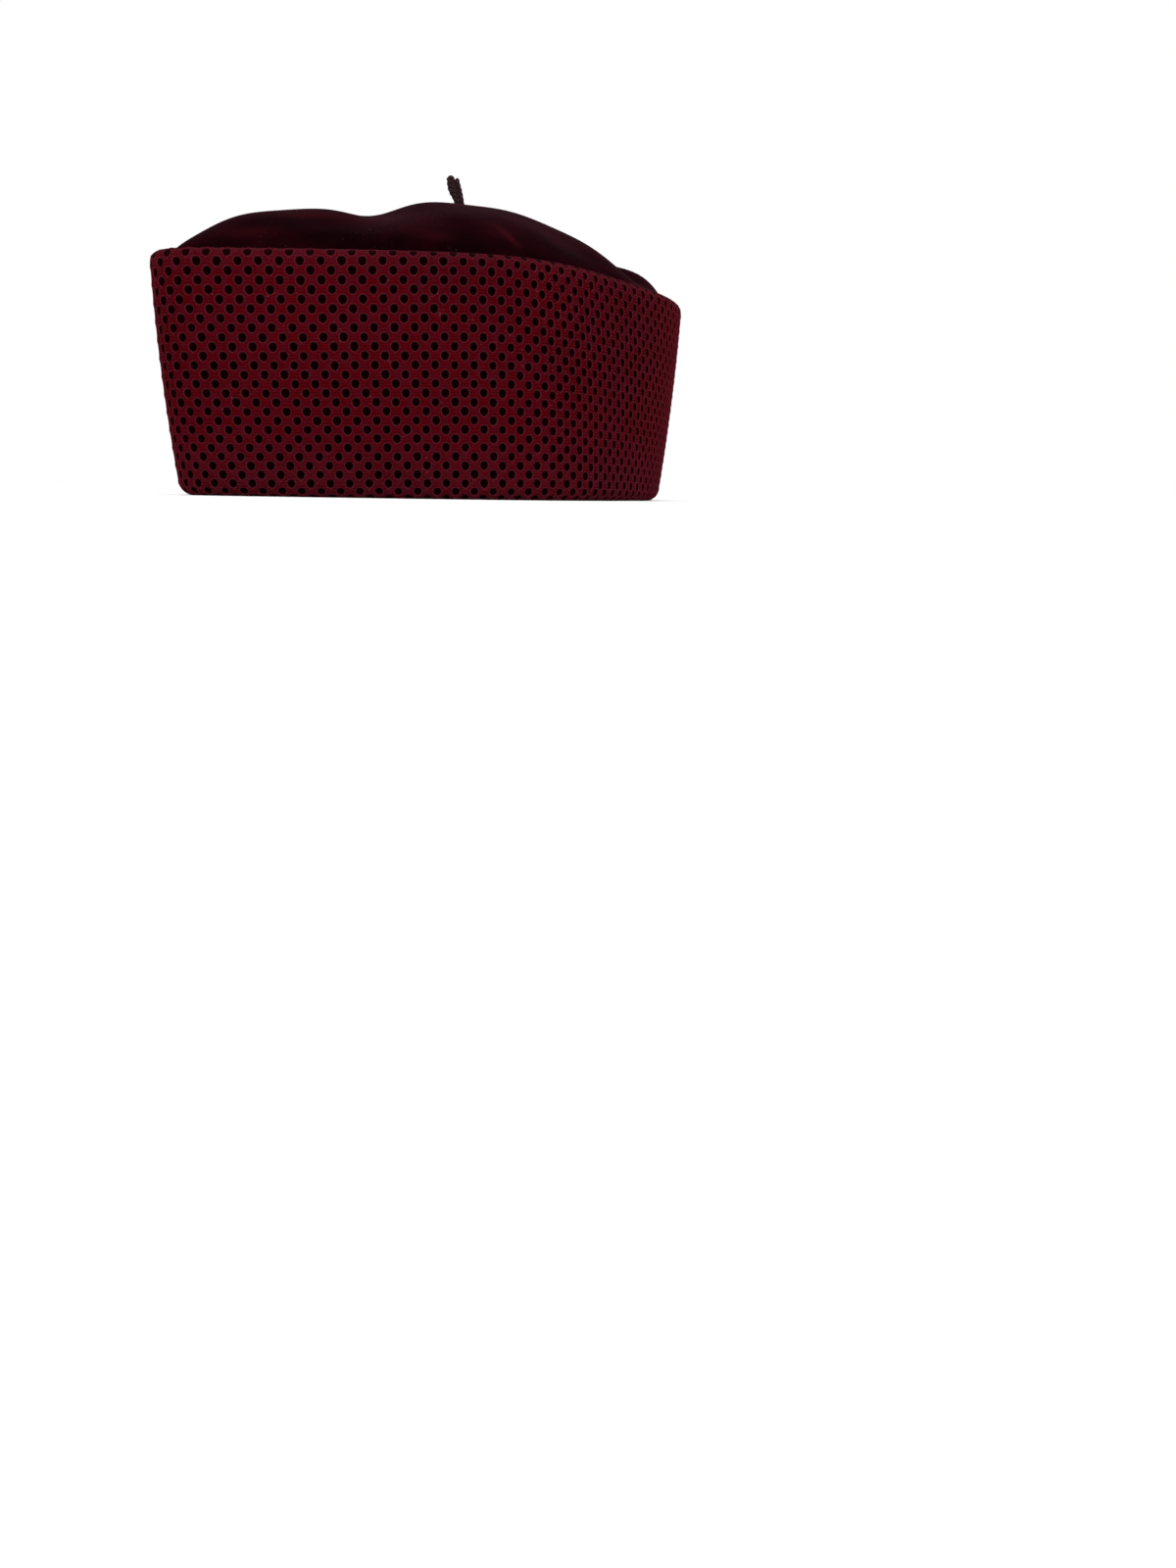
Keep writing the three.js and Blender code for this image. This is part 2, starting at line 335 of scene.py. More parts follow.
bandFinish = {
    "roughness": (0.68, 0.2),               # least, and added by the grain
    "ageScales": (14.0, 1500.0, 1100.0),    # scales of tone, grain and lint, to the metre
    "sheen": 0.05,
    "sheenRoughness": 0.3,
    "sheenTint": (0.70, 0.36, 0.42),
    "specular": 0.0,
    "thread": (0.079, 0.0011, 0.0032),      # colour of the raised threads
    "hollowShade": (0.019, 0.0005, 0.0014),      # painted shade between two courses
    "fadedSheen": (0.060, 0.0065, 0.0130),       # rubbed cloth and painted sheen at the rim, and painted light bounced up onto the hem
    "dull": (0.048, 0.0035, 0.0090),        # patches of cloth that look duller
    "dullScale": 330.0,                     # their scale to the metre
    "dullEdges": (0.42, 0.66),              # the noise between which they come up
    "dullStrength": 0.4,
    "lipHighlight": (0.090, 0.0100, 0.0160),         # painted highlight on the edge round a hole
    "lipHighlightStrength": 0.75,
    "lipHighlightEdges": (1.0, 1.07, 1.12, 1.26),    # starts, is full, is no longer full, and ends: in hole radii
    "lint": (0.20, 0.08, 0.09),
    "lintStrength": 0.4,
    # painted shade in the holes, also dark dots where a row has no sunk holes
    "pit": (0.006, 0.0001, 0.0002),
    "pitShadeEdges": (1.04, 0.90),               # the painted shade of a hole starts and is full, in hole radii
    "pitDrop": -2.0,                        # what the hole adds to the threads' height
    "courses": 3.0,                         # knit courses to a row of holes
    "wander": (1.7, 0.25),                  # they wander: scale to a hole, and reach in rows
    "wales": 9.0,                           # knit wales to a column of holes
    "waleShare": 0.4,                       # share of a thread's height that the wales make
    "grainRise": 0.5,                       # what the grain adds to it
    "bump": 0.30,                           # millimetres for a height of 1
    # the threads' share paints shade into the hollows between courses and wales
    "threadShade": 0.62,                    # how light the cloth is: shares of the threads,
    "toneLight": 0.24,                      # the tone
    "grainLight": 0.7,                      # and the grain,
    "evenLight": -0.18,                     # and an even part
    # painted sheen with some rubbed wear at the rim fold, and painted light bounced up onto the hem
    "rimWearSheen": (2.5, 0.55),                 # reach in rows, and strength
    "hemSheen": (11.0, 0.65),
}


def bandSection():
    # the wall's closed section as a line of evenly spaced points. It starts on the hem's underside and
    # goes up the outer face. Each point has a depth, a height and its share of the rim's rise and fall
    wall, rim = cap["wall"], cap["rimTerms"][0]
    hem, hemIn = band["hemOuterRadius"], band["hemInnerRadius"]
    top, topIn = band["rimOuterRadius"], band["rimInnerRadius"]
    start = band["startDepth"]
    quarter = np.linspace(0, np.pi / 2, band["cornerPoints"])
    sine, cosine = np.sin(quarter), np.cos(quarter)
    depth = np.concatenate([
        [start], hem - hem * sine, top - top * cosine,
        wall - topIn + topIn * sine, wall - hemIn + hemIn * cosine, [start],
    ])
    height = np.concatenate([
        [0], hem - hem * cosine, rim - top + top * sine,
        rim - topIn + topIn * cosine, hemIn - hemIn * sine, [0],
    ])
    length = np.concatenate([[0], np.cumsum(np.hypot(np.diff(depth), np.diff(height)))])
    fine = np.linspace(0, length[-1], band["sectionPoints"])
    depth, height = np.interp(fine, length, depth), np.interp(fine, length, height)
    slopeDepth, slopeHeight = np.gradient(depth, fine), np.gradient(height, fine)
    steep = np.hypot(slopeDepth, slopeHeight)
    outerLength = band["outerRows"] * band["rowPitch"]
    outerShare = band["outerRows"] / band["rows"]
    return {
        "share": np.interp(fine, [0, outerLength, fine[-1]], [0, outerShare, 1]),
        "depth": depth,
        "height": height,
        "follow": np.clip((height - hem) / (rim - top - hem), 0, 1),
        "inDepth": slopeHeight / steep,
        "inHeight": -slopeDepth / steep,
    }


def bandOutline():
    # the outline at half the height of the rim: its length, and the angle at each share of the way round
    angle = np.linspace(0, 2 * np.pi, band["outlinePoints"])
    outline = wallPoint(angle, 0.0, cap["rimTerms"][0] / 2)
    way = np.concatenate([[0], np.cumsum(np.hypot(*np.diff(outline[:, :2], axis=0).T))])
    return {"length": way[-1], "share": way / way[-1], "angle": angle}


section = bandSection()
outline = bandOutline()


def bandSurface(around, along, sink):
    # a point of the wall: around and along go from 0 to 1 round the cap and round the section, and sink
    # moves it into the wall along the section's normal. The rows drift by -rowDrift * cos(4 pi * around),
    # and the wall waves by unevenness * sin(3 * angle + 1) * sin(5 * angle), most at half height
    angle = np.interp(around % 1, outline["share"], outline["angle"])
    along = along - band["rowDrift"] / band["rows"] * np.cos(4 * np.pi * around)
    depth, height, follow, inDepth, inHeight = [
        np.interp(along % 1, section["share"], section[key])
        for key in ["depth", "height", "follow", "inDepth", "inHeight"]
    ]
    uneven = band["unevenness"] * np.sin(3 * angle + 1) * np.sin(5 * angle) * np.sin(np.pi * follow)
    rise = (sumTerms(cap["rimTerms"], angle) - cap["rimTerms"][0]) * follow
    points = wallPoint(angle, depth + uneven + sink * inDepth, height + rise + sink * inHeight)
    points[..., 2] = np.maximum(points[..., 2], 0)
    return points


def bandCells():
    # one diamond round each hole's place. Its corners lie halfway to the next holes, and each side is cut
    # in three, so a cell has 12 edge points, shared with its neighbours
    columns, rows = band["columns"], band["rows"]
    row, column = np.meshgrid(np.arange(rows), np.arange(columns), indexing="ij")
    row, column = row.ravel(), column.ravel()
    wide, high = cellSteps
    middle = np.stack([wide * column + wide // 2 * (row % 2), high * row], axis=-1)
    side = np.array([(3, 0), (2, 1), (1, 2)])
    quarter = np.array([(0, 1), (-1, 0)])
    edge = np.concatenate([side, side @ quarter, -side, -side @ quarter])
    place = (middle[:, None] + edge) % (wide * columns, high * rows)
    keys, index = np.unique(place[..., 0] * high * rows + place[..., 1], return_inverse=True)
    spots = np.stack(np.divmod(keys, high * rows), axis=-1)
    return row, middle, edge, index.reshape(-1, len(edge)), spots


def ringFaces(low, high):
    # quads between two rings of a cell, the outer one first
    return np.stack([low, np.roll(low, -1, axis=1), np.roll(high, -1, axis=1), high], axis=2)


def makeBand(material):
    # the wall's surface over the lattice of cells. A cell with a hole has two rings and a bottom point in
    # it, and a plain one has a grid. UV: columns round the cap, and rows along the section
    lattice = np.array([band["columns"], band["rows"]])
    steps = cellSteps * lattice
    row, middle, edge, edgeIndex, spots = bandCells()
    holed = (row >= band["holeRows"][0]) & (row <= band["holeRows"][1])
    count, sides, most = holed.sum(), len(edge), band["most"]
    turn = np.radians(360 / sides * np.arange(sides))
    dice = np.random.default_rng(band["seed"])
    size = 1 + band["sizeSpread"] * dice.standard_normal((count, 1)).clip(-most, most)
    stray = band["stray"] * dice.standard_normal((count, 1, 2)).clip(-most, most)
    reach = np.array([outline["length"], band["rowPitch"] * band["rows"]])
    shift = cellSteps * (band["columnShift"], 0)

    # edge points, raised at the corners, where four cells meet
    crossing = (spots % 3 == 0).all(axis=1)
    share = (spots + shift) / steps
    points = [bandSurface(share[:, 0], share[:, 1], np.where(crossing, -band["puff"], 0.0))]
    total = len(spots)

    # two rings and the bottom of each sunk hole: the rings are ellipses that narrow a little downwards
    rings, ringUvs = [], []
    for grow, sink in [(band["lipWidth"], band["lipSink"]), (0.0, band["lipDepth"])]:
        wide = (band["holeWidth"] / 2 + grow) * np.cos(turn) * (1 + band["taper"] * np.sin(turn))
        ring = np.stack([wide, (band["holeHeight"] / 2 + grow) * np.sin(turn)], axis=-1)
        share = (middle[holed][:, None] + shift) / steps + (ring * size[..., None] + stray) / reach
        points.append(bandSurface(share[..., 0].ravel(), share[..., 1].ravel(), sink))
        rings.append(total + np.arange(count * sides).reshape(-1, sides))
        ringUvs.append(middle[holed][:, None] / cellSteps + ring / reach * lattice)
        total += count * sides
    share = (middle[holed] + shift) / steps
    points.append(bandSurface(share[:, 0], share[:, 1], band["pitDepth"]))
    pit = np.broadcast_to(total + np.arange(count)[:, None], (count, sides))
    pitUv = np.broadcast_to((middle[holed] / cellSteps)[:, None], (count, sides, 2))
    total += count

    # four points inside each plain cell, which with its edge points make a grid of four by four
    inner = np.array([(0, -1), (1, 0), (-1, 0), (0, 1)])
    place = middle[~holed][:, None] + inner
    share = (place + shift) / steps
    points.append(bandSurface(share[..., 0].ravel(), share[..., 1].ravel(), 0.0))
    innerIndex = total + np.arange(place.shape[0] * 4).reshape(-1, 4)
    grid = np.array([(9, 10, 11, 0), (8, 12, 13, 1), (7, 14, 15, 2), (6, 5, 4, 3)])
    corners = np.stack([grid[:-1, :-1], grid[:-1, 1:], grid[1:, 1:], grid[1:, :-1]], axis=-1)
    corners = corners.reshape(-1, 4)
    plainIndex = np.concatenate([edgeIndex[~holed], innerIndex], axis=1)
    plainUv = np.concatenate([middle[~holed][:, None] + edge, place], axis=1) / cellSteps

    edgeUv = (middle[holed][:, None] + edge) / cellSteps
    quads = np.concatenate([
        ringFaces(edgeIndex[holed], rings[0]).reshape(-1, 4),
        ringFaces(rings[0], rings[1]).reshape(-1, 4),
        plainIndex[:, corners].reshape(-1, 4),
    ])
    triangles = ringFaces(rings[1], pit)[..., :3].reshape(-1, 3)
    uvs = np.concatenate([
        ringFaces(edgeUv, ringUvs[0]).reshape(-1, 2),
        ringFaces(ringUvs[0], ringUvs[1]).reshape(-1, 2),
        plainUv[:, corners].reshape(-1, 2),
        ringFaces(ringUvs[1], pitUv)[:, :, :3].reshape(-1, 2),
    ])
    return makePiece("meshBand", np.concatenate(points), quads, triangles, material, uvs)


def holeReach(tree, across, along):
    # distance from the nearest hole's middle, over the hole's own radius in that direction. Each of the
    # two straight lattices that make the staggered one gives its own, and the lesser one counts
    columnStep, rowStep = outline["length"] / band["columns"], band["rowPitch"]
    widths, heights = 2 * columnStep / band["holeWidth"], 4 * rowStep / band["holeHeight"]
    reaches = []
    for shift in [0.5, 0.0]:
        aside = calc(tree, "SUBTRACT", calc(tree, "FRACT", calc(tree, "ADD", across, shift)), 0.5)
        above = calc(tree, "FRACT", calc(tree, "MULTIPLY_ADD", along, 0.5, shift))
        above = calc(tree, "MULTIPLY", calc(tree, "SUBTRACT", above, 0.5), heights)
        narrow = calc(tree, "MULTIPLY_ADD", above, band["taper"], 1.0)
        aside = calc(tree, "DIVIDE", calc(tree, "MULTIPLY", aside, widths), narrow)
        square = calc(tree, "MULTIPLY_ADD", aside, aside, calc(tree, "MULTIPLY", above, above))
        reaches.append(calc(tree, "SQRT", square))
    return calc(tree, "MINIMUM", *reaches)


def bandMaterial():
    # threads are course * (1 - waleShare + waleShare * wale), their hollows get painted shade, and masked
    # layers of colour lie over them
    material, tree, shader, age = newMaterial("burgundyMesh", bandFinish)
    across, along, clothVector = clothPlace(tree)
    reach = holeReach(tree, across, along)

    # courses run round the cap and wander a little, and wales cross them
    wanderScale, wanderReach = bandFinish["wander"]
    wander = calc(tree, "MULTIPLY_ADD", noise(tree, clothVector, wanderScale), wanderReach, along)
    course = wave(tree, wander, bandFinish["courses"])
    wale = wave(tree, across, bandFinish["wales"])
    share = bandFinish["waleShare"]
    thread = calc(tree, "MULTIPLY", course, calc(tree, "MULTIPLY_ADD", wale, share, 1 - share))
    # mask of the painted shade in the holes
    pit = smoothStep(tree, reach, *bandFinish["pitShadeEdges"])
    height = calc(tree, "MULTIPLY_ADD", age["grain"], bandFinish["grainRise"], thread)
    height = calc(tree, "MULTIPLY_ADD", pit, bandFinish["pitDrop"], height)
    addBump(tree, shader, height, bandFinish["bump"])

    light = calc(tree, "MULTIPLY_ADD", age["grain"], bandFinish["grainLight"], bandFinish["evenLight"])
    light = calc(tree, "MULTIPLY_ADD", age["tone"], bandFinish["toneLight"], light)
    # painted shade in the hollows between the threads
    light = calc(tree, "MULTIPLY_ADD", thread, bandFinish["threadShade"], light)
    colour = blendColour(tree, light, bandFinish["hollowShade"], bandFinish["thread"])

    # duller patches, rubbed wear and painted sheen at the rim and hem, painted highlights on the edges of
    # the holes, lint, and painted shade in the holes themselves
    place = tree.nodes.new("ShaderNodeTexCoord").outputs["Object"]
    patches = noise(tree, place, bandFinish["dullScale"])
    patches = smoothStep(tree, patches, *bandFinish["dullEdges"])
    layers = [(patches, bandFinish["dullStrength"], bandFinish["dull"])]
    rim = band["outerRows"] - 1.0
    for middle, (wearReach, strength) in [(rim, bandFinish["rimWearSheen"]), (0.0, bandFinish["hemSheen"])]:
        wear = placeGroup(
            tree, edgeWearSheen, along=along, middle=middle, reach=wearReach, grain=age["grain"]
        )
        layers.append((wear["wear"], strength, bandFinish["fadedSheen"]))
    # painted highlight on the lip round each hole
    starts, full, fades, ends = bandFinish["lipHighlightEdges"]
    lipHighlight, outside = smoothStep(tree, reach, starts, full), smoothStep(tree, reach, ends, fades)
    lipHighlight = calc(tree, "MULTIPLY", lipHighlight, outside)
    layers.append((lipHighlight, bandFinish["lipHighlightStrength"], bandFinish["lipHighlight"]))
    layers.append((age["lint"], bandFinish["lintStrength"], bandFinish["lint"]))
    for mask, strength, tint in layers:
        colour = blendColour(tree, calc(tree, "MULTIPLY", mask, strength), colour, tint)
    tree.links.new(blendColour(tree, pit, colour, bandFinish["pit"]), shader.inputs["Base Color"])
    return material


# Crown: a velvet shell that rises out of the band and falls in soft folds

crown = {
    "wall": 2.0,
    "columns": 240,
    "domeRows": 80,
    "seamRows": 6,
    "edgeDrop": 0.5,            # the dome starts this far below the rim
    "seamDepth": 14.0,          # cloth that is tucked inside the band
    "domeHeight": 23.5,
    "domeFullness": 1.5,
    "foldFade": 6,              # folds die away with share to this power
    # folds: middle x and y, reach along and across, turn of their length from the X axis, rise
    "folds": [
        (15, 21, 38, 38, 0, 8.8),           # main dome
        (0, -79, 30, 20, 0, 3.1),           # front hump
        (9, -34.5, 34, 9, -37, -2.6),       # front valley
        (36, -77, 20, 5, 56, 1.4),          # front ledge
        (63, -32, 11, 6, 12, -1.4),         # side dent
        (64, -18, 12, 5, 8, 1.2),           # side ridge
        (42, 72.5, 26, 8.6, 20, -9.3),      # back dip
        (47, 95.5, 21, 12, 20, 10.0),       # back shoulder
    ],
    # slow ripples of the cloth: size and length of a wave, number of directions
    "ripple": 0.22,
    "rippleLength": (27.0, 44.0),
    "ripples": 7,
    "seed": 5,
}

crownFinish = {
    "roughness": (0.72, 0.25),              # least, and added by the grain
    "ageScales": (20.0, 1700.0, 1300.0),    # scales of tone, grain and lint, to the metre
    "sheen": 0.07,
    "sheenRoughness": 0.28,
    "sheenTint": (0.60, 0.27, 0.34),
    "specular": 0.0,
    "deep": (0.0030, 0.0003, 0.0008),
    "raised": (0.0120, 0.0011, 0.0023),     # where the pile leans the other way
    "lightPatch": (0.0240, 0.0018, 0.0034),    # painted highlight of sheen on the stroked places
    "lint": (0.10, 0.06, 0.06),
    "lintStrength": 0.4,
    "leanScale": 60.0,                      # patches of leaning pile: scale to the metre,
    "leanStretch": (1.0, 0.35, 1.0),        # drawn out along Y,
    "leanTurn": (0.2, 0.3, 0.7),            # turn of their noise in radians,
    "leanEdges": (0.42, 0.68),              # the noise between which they come up,
    "leanLight": 0.55,                      # how light they are,
    "toneLight": 0.3,                       # and the tone
    "pileScale": 2600.0,
    "pileContrast": (0.8, 0.6),             # the pile lights a place by noise * first + second
    "pileRise": 0.4,                        # shares of the pile and of the grain in the height
    "grainRise": 0.6,
    "bump": 0.12,                           # millimetres for a height of 1
    # stroked places, painted highlights of sheen on folds and creases: middle in millimetres, turn in
    # degrees, reach along, across and up, strength
    "sheenStrokes": [
        ((53, -42, 92), 62, (13, 7, 6), 0.55),      # broad, over the front valley
        ((62, -14, 97), 5, (15, 3.6, 11), 0.85),    # narrow crease
        ((57, -19, 94), 30, (9, 6, 6), 0.35),       # and the cloth beside it
        ((16, -94, 91), 60, (20, 10, 5), 0.50),     # front corner
        ((20, -72, 101), 62, (22, 9, 4), 0.60),     # crest of the front hump
        ((60, 58, 90), -60, (10, 6, 5), 0.40),      # under the back shoulder
        ((-38, -10, 104), 70, (26, 9, 12), 0.50),   # hidden side
        ((-30, 55, 103), 110, (18, 8, 10), 0.45),
    ],
}


def foldRise(x, y):
    # the sum of rise * exp(-(a * a + b * b) / 2), where a and b are the distances along and across each
    # fold in its own reaches, and of the ripples, plane waves in seeded directions
    total = 0 * x
    for foldX, foldY, length, width, turn, rise in crown["folds"]:
        cosine, sine = np.cos(np.radians(turn)), np.sin(np.radians(turn))
        along = (cosine * (x - foldX) + sine * (y - foldY)) / length
        across = (cosine * (y - foldY) - sine * (x - foldX)) / width
        total = total + rise * np.exp(-0.5 * (along * along + across * across))
    dice = np.random.default_rng(crown["seed"])
    shortest, longest = crown["rippleLength"]
    for direction, phase, share in dice.random((crown["ripples"], 3)):
        length = shortest + share * (longest - shortest)
        run = x * np.cos(2 * np.pi * direction) + y * np.sin(2 * np.pi * direction)
        total = total + crown["ripple"] * np.sin(2 * np.pi * (run / length + phase))
    return total


def crownPoint(share, angle):
    # share * edge in plan, at the height of the middle + (rim - middle) * share^2 - drop
    # + domeHeight * (1 - share^2)^(1 / fullness) + folds * (1 - share^fade)
    middle = cap["rimTerms"][0]
    rim = sumTerms(cap["rimTerms"], angle)
    edge = wallPoint(angle, cap["wall"] + cap["gap"], rim)
    x = edge[..., 0] * share
    y = (edge[..., 1] - cap["boxShift"]) * share
    dome = crown["domeHeight"] * np.maximum(1 - share ** 2, 0) ** (1 / crown["domeFullness"])
    height = middle + (rim - middle) * share ** 2 - crown["edgeDrop"] + dome
    height = height + foldRise(x, y) * (1 - share ** crown["foldFade"])
    return np.stack([x, y + cap["boxShift"], height], axis=-1)


def makeCrown(material):
    # outer rows from the middle to the edge and down inside the band, then the same rows back, one wall
    # further in
    columns, domeRows, seamRows = crown["columns"], crown["domeRows"], crown["seamRows"]
    around = np.linspace(0, 1, columns, endpoint=False)
    angle = np.interp(around, outline["share"], outline["angle"])
    share = np.sin(np.linspace(0, np.pi / 2, domeRows + 1))[1:, None]
    dome = crownPoint(share, angle + 0 * share)
    drop = np.linspace(0, 1, seamRows + 1)[1:, None] * crown["seamDepth"] + crown["edgeDrop"]
    rim = sumTerms(cap["rimTerms"], angle)
    seam = wallPoint(angle + 0 * drop, cap["wall"] + cap["gap"], rim - drop)
    outer = np.concatenate([dome, seam])
    pole = crownPoint(np.zeros(1), np.zeros(1))
    closed = np.concatenate([outer[:, -1:], outer, outer[:, :1]], axis=1)
    alongRow = np.gradient(closed, axis=1)[:, 1:-1]
    downRows = np.gradient(outer, axis=0)
    normal = np.cross(downRows, alongRow)
    normal /= np.linalg.norm(normal, axis=-1, keepdims=True)
    inner = (outer - crown["wall"] * normal)[::-1]
    innerPole = pole - (0, 0, crown["wall"])
    points = np.concatenate([outer.reshape(-1, 3), inner.reshape(-1, 3), pole, innerPole])
    rows = 2 * (domeRows + seamRows)
    quads = gridFaces(rows, columns)[:, ::-1]
    top = fanFaces(0, columns, rows * columns, False)
    under = fanFaces((rows - 1) * columns, columns, rows * columns + 1, True)
    return makePiece("velvetCrown", points, quads, np.concatenate([top, under]), material)


def strokeMask(tree, place, middle, turn, reach):
    # 1 in the middle of an ellipsoid, easing to 0 on its surface. Its length is turned from the X axis
    node = tree.nodes.new("ShaderNodeMapping")
    node.vector_type = "TEXTURE"
    node.inputs["Location"].default_value = [value * mm for value in middle]
    node.inputs["Rotation"].default_value = (0, 0, np.radians(turn))
    node.inputs["Scale"].default_value = [value * mm for value in reach]
    tree.links.new(place, node.inputs["Vector"])
    length = tree.nodes.new("ShaderNodeVectorMath")
    length.operation = "LENGTH"
    tree.links.new(node.outputs["Vector"], length.inputs[0])
    return smoothStep(tree, length.outputs["Value"], 1.0, 0.0)


def crownMaterial():
    # the deep colour is raised where the pile leans, and lightened by painted highlights of sheen where it
    # is stroked
    material, tree, shader, age = newMaterial("maroonVelvet", crownFinish)
    place = tree.nodes.new("ShaderNodeTexCoord").outputs["Object"]
    pile = noise(tree, place, crownFinish["pileScale"], detail=1.0)
    tips = calc(tree, "MULTIPLY_ADD", pile, *crownFinish["pileContrast"])
    # the pile leans this way and that in patches
    lightPatch = stretched(tree, place, crownFinish["leanStretch"], crownFinish["leanTurn"])
    lightPatch = noise(tree, lightPatch, crownFinish["leanScale"], detail=3.0)
    lightPatch = smoothStep(tree, lightPatch, *crownFinish["leanEdges"])
    lean = calc(tree, "MULTIPLY", age["tone"], crownFinish["toneLight"])
    lean = calc(tree, "MULTIPLY_ADD", lightPatch, crownFinish["leanLight"], lean)
    lean = calc(tree, "MULTIPLY", lean, tips)
    colour = blendColour(tree, lean, crownFinish["deep"], crownFinish["raised"])
    # painted highlights of sheen on the crests and creases of the folds
    for middle, turn, reach, strength in crownFinish["sheenStrokes"]:
        near = calc(tree, "MULTIPLY", strokeMask(tree, place, middle, turn, reach), strength)
        colour = blendColour(tree, calc(tree, "MULTIPLY", near, tips), colour, crownFinish["lightPatch"])
    lint = calc(tree, "MULTIPLY", age["lint"], crownFinish["lintStrength"])
    tree.links.new(blendColour(tree, lint, colour, crownFinish["lint"]), shader.inputs["Base Color"])
    height = calc(tree, "MULTIPLY", pile, crownFinish["pileRise"])
    height = calc(tree, "MULTIPLY_ADD", age["grain"], crownFinish["grainRise"], height)
    addBump(tree, shader, height, crownFinish["bump"])
    return material


# Stalk: two twisted cords side by side, one with a fat tip and one with a thin one

stalk = {
    "turn": 156.0,              # where it stands on the crown: angle in degrees,
    "share": 0.12,              # and share of the way to the edge
    "lean": 38.5,               # heading of its lean, degrees from the front to the wearer's right
    "sink": 0.6,                # how far its foot goes into the pile
    "sides": 48,
    "rows": 110,
    "rowCrowding": 1.5,         # rows crowd towards the tip by this power
    "smoothing": 15,            # rows over which the line and the radius are eased
    "tipOpening": 0.02,         # the tip's last ring stays open by this share of its rounding
    "endCaps": (0.3, 0.02),     # foot and tip are closed this far past their last rings
    "plies": 3,
    "plyDepth": 0.07,
    "twistLength": 5.5,         # one full turn of the plies
    # height, shift along the lean, radius: the tip is rounded off over its own radius
    "thick": [
        (0, 1.15, 1.25), (2.9, 1.05, 1.25), (5.2, 1.95, 1.45), (7.4, 3.1, 1.7),
        (9.6, 3.5, 1.75), (11.4, 3.7, 1.7), (12.4, 3.7, 1.65), (13.1, 3.7, 1.6),
    ],
    "thin": [
        (0, -0.8, 1.2), (2.9, -0.5, 1.2), (5.2, -0.1, 1.2), (7.4, 0.35, 1.2),
        (9.6, 0.85, 1.05), (11.3, 1.05, 0.85), (12.2, 1.1, 0.8),
    ],
}

stalkFinish = {
    "roughness": (0.7, 0.2),                # least, and added by the grain
    "ageScales": (160.0, 2600.0, 1500.0),   # scales of tone, grain and lint, to the metre
    "sheen": 0.08,
    "sheenRoughness": 0.5,
    "sheenTint": (0.6, 0.4, 0.4),
    "specular": 0.05,
    "yarn": (0.034, 0.011, 0.013),
    # painted shade in the grooves between plies and yarns
    "grooveShade": (0.007, 0.002, 0.003),
    "tuft": (0.30, 0.20, 0.20),             # fibres that stand out
    "tuftEdges": (0.62, 0.74),              # the grain between which they come up
    "tuftStrength": 0.7,
    "yarns": 4.0,                           # yarns across a ply
    "yarnLean": 1.4,                        # how they cross it, in plies to the millimetre
    "yarnRise": 0.5,                        # height of the yarns beside the grain
    "yarnLight": 0.35,                      # how light the cord is, painted shade in the grooves: shares of the yarns and the plies
    "plyLight": 0.65,
    "bump": 0.2,                            # millimetres for a height of 1
}


def strandPoints(stations, foot, lean):
    # rings round a smooth line along the stations, in planes square to it: radius * tip * (1 + plyDepth
    # * cos(plies * (around - twist))), closed by a point at each end. The tip is a quarter circle
    heights, shifts, radii = np.array(stations).T
    heights = np.concatenate([[-stalk["sink"]], heights[1:]])
    along = 1 - (1 - np.linspace(0, 1, stalk["rows"])) ** stalk["rowCrowding"]
    knots = np.linspace(0, 1, len(heights))
    spread = np.array([np.interp(along, knots, values) for values in [heights, shifts, radii]])
    margin = stalk["smoothing"] // 2
    padded = np.pad(spread, [(0, 0), (margin, margin)], mode="reflect", reflect_type="odd")
    window = np.hanning(stalk["smoothing"] + 2)[1:-1]
    window /= window.sum()
    height, shift, radius = [np.convolve(values, window, "valid") for values in padded]
    line = foot + shift[:, None] * lean + height[:, None] * np.array([0, 0, 1])
    tangent = np.gradient(line, axis=0)
    tangent /= np.linalg.norm(tangent, axis=1, keepdims=True)
    side = np.cross(lean, (0, 0, 1))
    front = np.cross(tangent, side)
    length = np.concatenate([[0], np.cumsum(np.linalg.norm(np.diff(line, axis=0), axis=1))])
    around = np.linspace(0, 2 * np.pi, stalk["sides"], endpoint=False)
    twist = 2 * np.pi * length[:, None] / stalk["twistLength"]
    left = np.clip((length[-1] - length) / radius[-1], stalk["tipOpening"], 1)
    tip = np.sqrt(1 - (1 - left) ** 2)
    swell = (radius * tip)[:, None] * (1 + stalk["plyDepth"] * np.cos(stalk["plies"] * (around - twist)))
    ring = np.cos(around)[:, None] * front[:, None] + np.sin(around)[:, None] * side
    points = line[:, None] + swell[..., None] * ring
    footCap, tipCap = stalk["endCaps"]
    return points, line[[0]] - footCap * tangent[[0]], line[[-1]] + tipCap * tangent[[-1]], length


